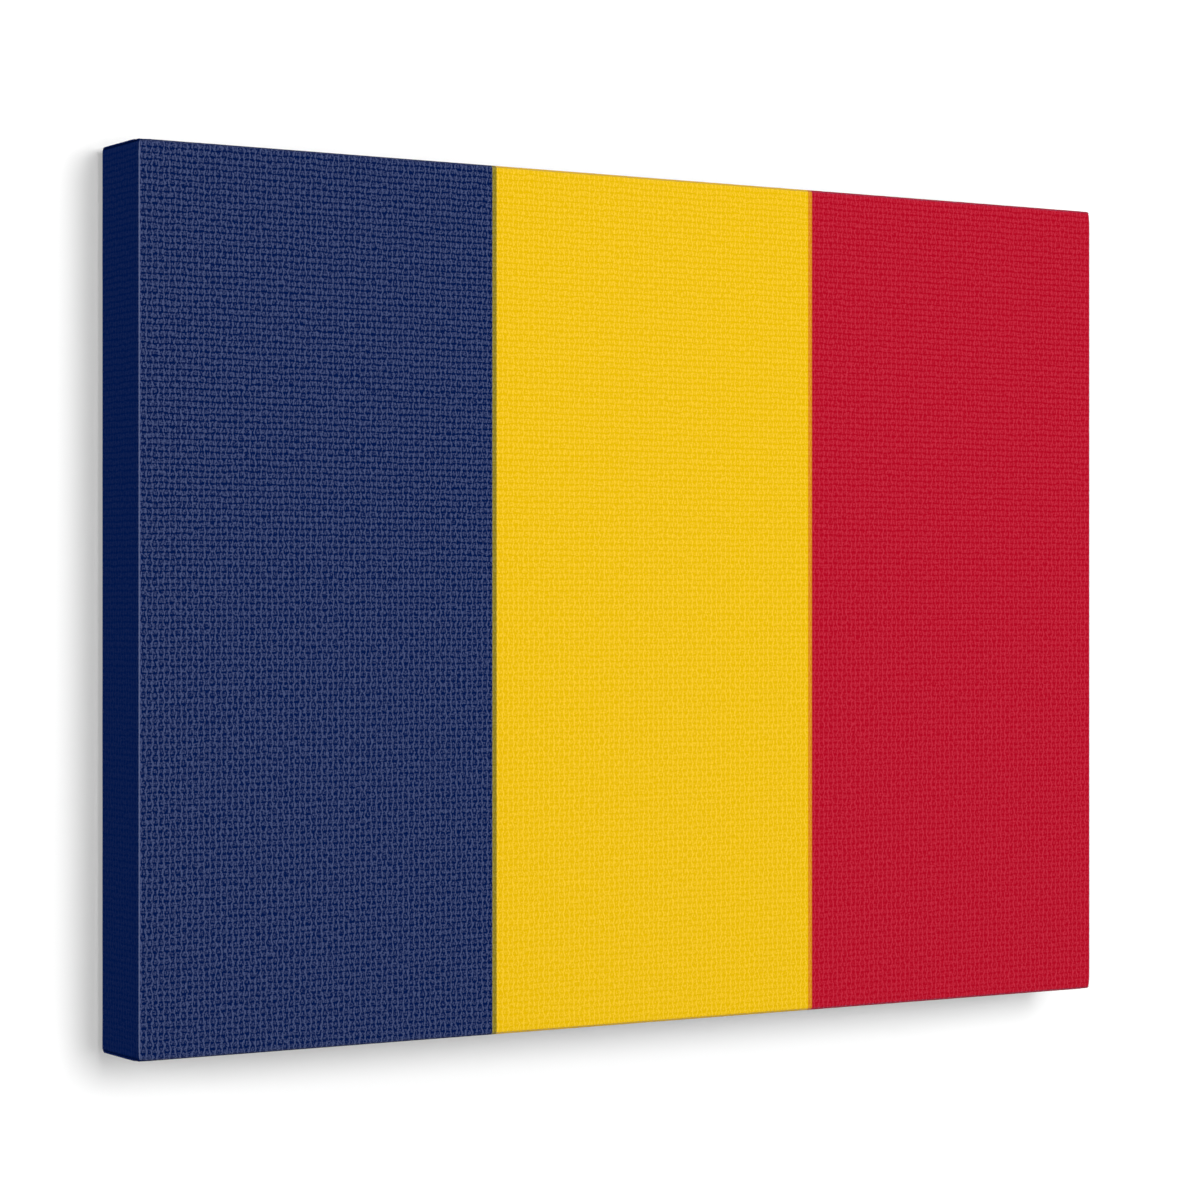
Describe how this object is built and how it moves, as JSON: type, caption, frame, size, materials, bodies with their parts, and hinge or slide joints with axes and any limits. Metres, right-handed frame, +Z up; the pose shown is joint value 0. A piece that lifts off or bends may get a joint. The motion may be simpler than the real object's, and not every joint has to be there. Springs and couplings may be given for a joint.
{
  "type": "stretched canvas",
  "caption": "Gallery-wrapped canvas printed with upright colour bands, stretched over mitred pine bars with pull-out corner keys, staples, a sawtooth hanger and wall bumpers.",
  "frame": {"origin": "bottom centre of the whole part's box, on the surface the frame stands on", "axes": "+Z up; the picture faces -Y, so +X is to the viewer's right; +Y points at the wall"},
  "size_m": [0.508, 0.0404, 0.381],
  "materials": {
    "printed_canvas": "matte printed plain weave in navy, yellow and red bands, bare primed cloth behind",
    "pine_bar": "planed bare pine",
    "key_wood": "bare pale hardwood",
    "staple_wire": "bright galvanised flat wire",
    "zinc_steel": "zinc-plated pressed steel",
    "bumper_rubber": "translucent milky soft rubber"
  },
  "bodies": {
    "stretched_frame": {"canvas": "printed_canvas", "bar_bottom": "pine_bar", "bar_right": "pine_bar", "bar_top": "pine_bar", "bar_left": "pine_bar", "staple_bottom_1": "staple_wire", "staple_bottom_2": "staple_wire", "staple_bottom_3": "staple_wire", "staple_bottom_4": "staple_wire", "staple_bottom_5": "staple_wire", "staple_bottom_6": "staple_wire", "staple_bottom_7": "staple_wire", "staple_bottom_8": "staple_wire", "staple_bottom_9": "staple_wire", "staple_bottom_10": "staple_wire", "staple_right_1": "staple_wire", "staple_right_2": "staple_wire", "staple_right_3": "staple_wire", "staple_right_4": "staple_wire", "staple_right_5": "staple_wire", "staple_right_6": "staple_wire", "staple_right_7": "staple_wire", "staple_top_1": "staple_wire", "staple_top_2": "staple_wire", "staple_top_3": "staple_wire", "staple_top_4": "staple_wire", "staple_top_5": "staple_wire", "staple_top_6": "staple_wire", "staple_top_7": "staple_wire", "staple_top_8": "staple_wire", "staple_top_9": "staple_wire", "staple_top_10": "staple_wire", "staple_left_1": "staple_wire", "staple_left_2": "staple_wire", "staple_left_3": "staple_wire", "staple_left_4": "staple_wire", "staple_left_5": "staple_wire", "staple_left_6": "staple_wire", "staple_left_7": "staple_wire", "sawtooth_hanger": "zinc_steel", "hanger_nail_left": "zinc_steel", "hanger_nail_right": "zinc_steel", "bumper_left": "bumper_rubber", "bumper_right": "bumper_rubber"},
    "bottom_bar_left_key": {"key_bottom_bar_left_end": "key_wood"},
    "bottom_bar_right_key": {"key_bottom_bar_right_end": "key_wood"},
    "right_bar_bottom_key": {"key_right_bar_bottom_end": "key_wood"},
    "right_bar_top_key": {"key_right_bar_top_end": "key_wood"},
    "top_bar_right_key": {"key_top_bar_right_end": "key_wood"},
    "top_bar_left_key": {"key_top_bar_left_end": "key_wood"},
    "left_bar_top_key": {"key_left_bar_top_end": "key_wood"},
    "left_bar_bottom_key": {"key_left_bar_bottom_end": "key_wood"}
  },
  "joints": [
    {"name": "bottom_bar_left_key_slide", "type": "slide", "parent": "stretched_frame", "child": "bottom_bar_left_key", "axis": [0, 0, 1], "range_m": [0, 0.025]},
    {"name": "bottom_bar_right_key_slide", "type": "slide", "parent": "stretched_frame", "child": "bottom_bar_right_key", "axis": [0, 0, 1], "range_m": [0, 0.025]},
    {"name": "right_bar_bottom_key_slide", "type": "slide", "parent": "stretched_frame", "child": "right_bar_bottom_key", "axis": [-1, 0, 0], "range_m": [0, 0.025]},
    {"name": "right_bar_top_key_slide", "type": "slide", "parent": "stretched_frame", "child": "right_bar_top_key", "axis": [-1, 0, 0], "range_m": [0, 0.025]},
    {"name": "top_bar_right_key_slide", "type": "slide", "parent": "stretched_frame", "child": "top_bar_right_key", "axis": [0, 0, -1], "range_m": [0, 0.025]},
    {"name": "top_bar_left_key_slide", "type": "slide", "parent": "stretched_frame", "child": "top_bar_left_key", "axis": [0, 0, -1], "range_m": [0, 0.025]},
    {"name": "left_bar_top_key_slide", "type": "slide", "parent": "stretched_frame", "child": "left_bar_top_key", "axis": [1, 0, 0], "range_m": [0, 0.025]},
    {"name": "left_bar_bottom_key_slide", "type": "slide", "parent": "stretched_frame", "child": "left_bar_bottom_key", "axis": [1, 0, 0], "range_m": [0, 0.025]}
  ]
}
